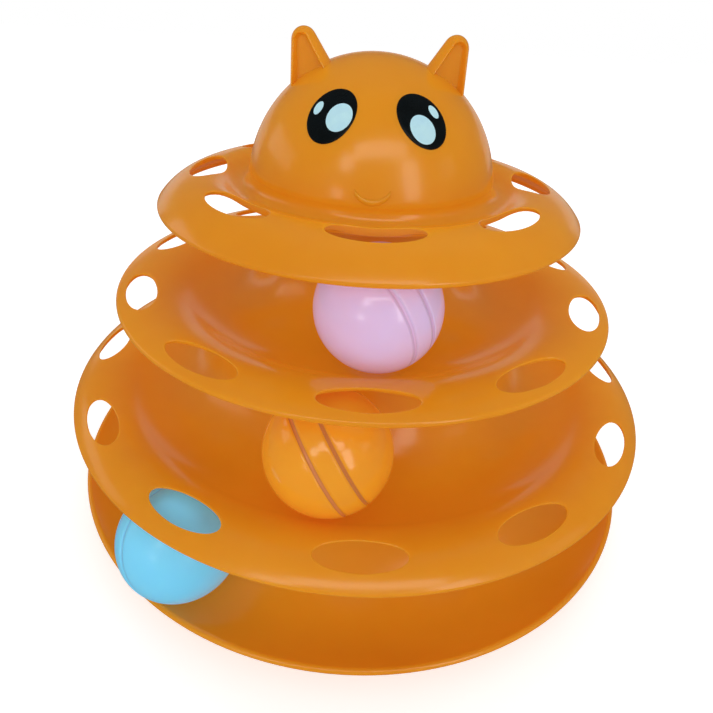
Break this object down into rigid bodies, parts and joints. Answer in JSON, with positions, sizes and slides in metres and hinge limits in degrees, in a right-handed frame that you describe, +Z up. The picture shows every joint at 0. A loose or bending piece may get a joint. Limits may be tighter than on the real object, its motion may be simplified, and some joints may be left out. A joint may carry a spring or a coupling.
{
  "type": "cat ball track toy",
  "caption": "Cat toy tower: stacked round tracks with oval rim holes, a captive ball rolling on each, under a brimmed cat-head top.",
  "frame": {"origin": "on the floor under the middle of the tower, at the bottom centre of the bounding box", "axes": "+Z up the tower, the cat face looks along -Y, +X to the right seen from in front"},
  "size_m": [0.2542, 0.2542, 0.1932],
  "materials": {
    "amber_plastic": "glossy, slightly see-through moulding",
    "black_vinyl": "smooth printed sticker",
    "pale_print": "smooth printed sticker",
    "blue_ball": "glossy",
    "orange_ball": "glossy",
    "pink_ball": "pearly gloss",
    "bell_metal": "bright plated",
    "pellet_metal": "plain steel",
    "pad_rubber": "matt"
  },
  "bodies": {
    "base": {"base_tray": "amber_plastic", "front_left_pad": "pad_rubber", "front_right_pad": "pad_rubber", "back_left_pad": "pad_rubber", "back_right_pad": "pad_rubber"},
    "lower_tier": {"lower_disc": "amber_plastic"},
    "middle_tier": {"middle_disc": "amber_plastic"},
    "head": {"head_top": "amber_plastic", "left_eye": "black_vinyl", "right_eye": "black_vinyl", "left_eye_highlights": "pale_print", "right_eye_highlights": "pale_print"},
    "blue_bell": {"blue_ball_bell": "bell_metal", "blue_ball_pellet": "pellet_metal"},
    "blue_ball": {"blue_ball_plain_half": "blue_ball", "blue_ball_banded_half": "blue_ball"},
    "orange_bell": {"orange_ball_bell": "bell_metal", "orange_ball_pellet": "pellet_metal"},
    "orange_ball": {"orange_ball_plain_half": "orange_ball", "orange_ball_banded_half": "orange_ball"},
    "pink_bell": {"pink_ball_bell": "bell_metal", "pink_ball_pellet": "pellet_metal"},
    "pink_ball": {"pink_ball_plain_half": "pink_ball", "pink_ball_banded_half": "pink_ball"}
  },
  "joints": [
    {"name": "lower_tier_lift", "type": "slide", "parent": "base", "child": "lower_tier", "axis": [0, 0, 1], "range_m": [0, 0.06]},
    {"name": "middle_tier_lift", "type": "slide", "parent": "lower_tier", "child": "middle_tier", "axis": [0, 0, 1], "range_m": [0, 0.06]},
    {"name": "head_lift", "type": "slide", "parent": "middle_tier", "child": "head", "axis": [0, 0, 1], "range_m": [0, 0.06]},
    {"name": "blue_ball_round_track", "type": "hinge", "parent": "base", "child": "blue_bell", "pos_m": [0, 0, 0.0329], "axis": [0, 0, 1], "continuous": true},
    {"name": "blue_ball_roll", "type": "hinge", "parent": "blue_bell", "child": "blue_ball", "pos_m": [-0.06417, -0.08996, 0.0329], "axis": [-0.5807, -0.8141, 0], "continuous": true},
    {"name": "orange_ball_round_track", "type": "hinge", "parent": "lower_tier", "child": "orange_bell", "pos_m": [0, 0, 0.0741], "axis": [0, 0, 1], "continuous": true},
    {"name": "orange_ball_roll", "type": "hinge", "parent": "orange_bell", "child": "orange_ball", "pos_m": [-0.01148, -0.08493, 0.0741], "axis": [-0.134, -0.991, 0], "continuous": true},
    {"name": "pink_ball_round_track", "type": "hinge", "parent": "middle_tier", "child": "pink_bell", "pos_m": [0, 0, 0.1147], "axis": [0, 0, 1], "continuous": true},
    {"name": "pink_ball_roll", "type": "hinge", "parent": "pink_bell", "child": "pink_ball", "pos_m": [0.00315, -0.05822, 0.1147], "axis": [0.0541, -0.9985, 0], "continuous": true}
  ],
  "couplings": [
    {"joint": "blue_ball_roll", "follows": "blue_ball_round_track", "ratio": -5.0227},
    {"joint": "orange_ball_roll", "follows": "orange_ball_round_track", "ratio": -3.8954},
    {"joint": "pink_ball_roll", "follows": "pink_ball_round_track", "ratio": -2.65}
  ]
}
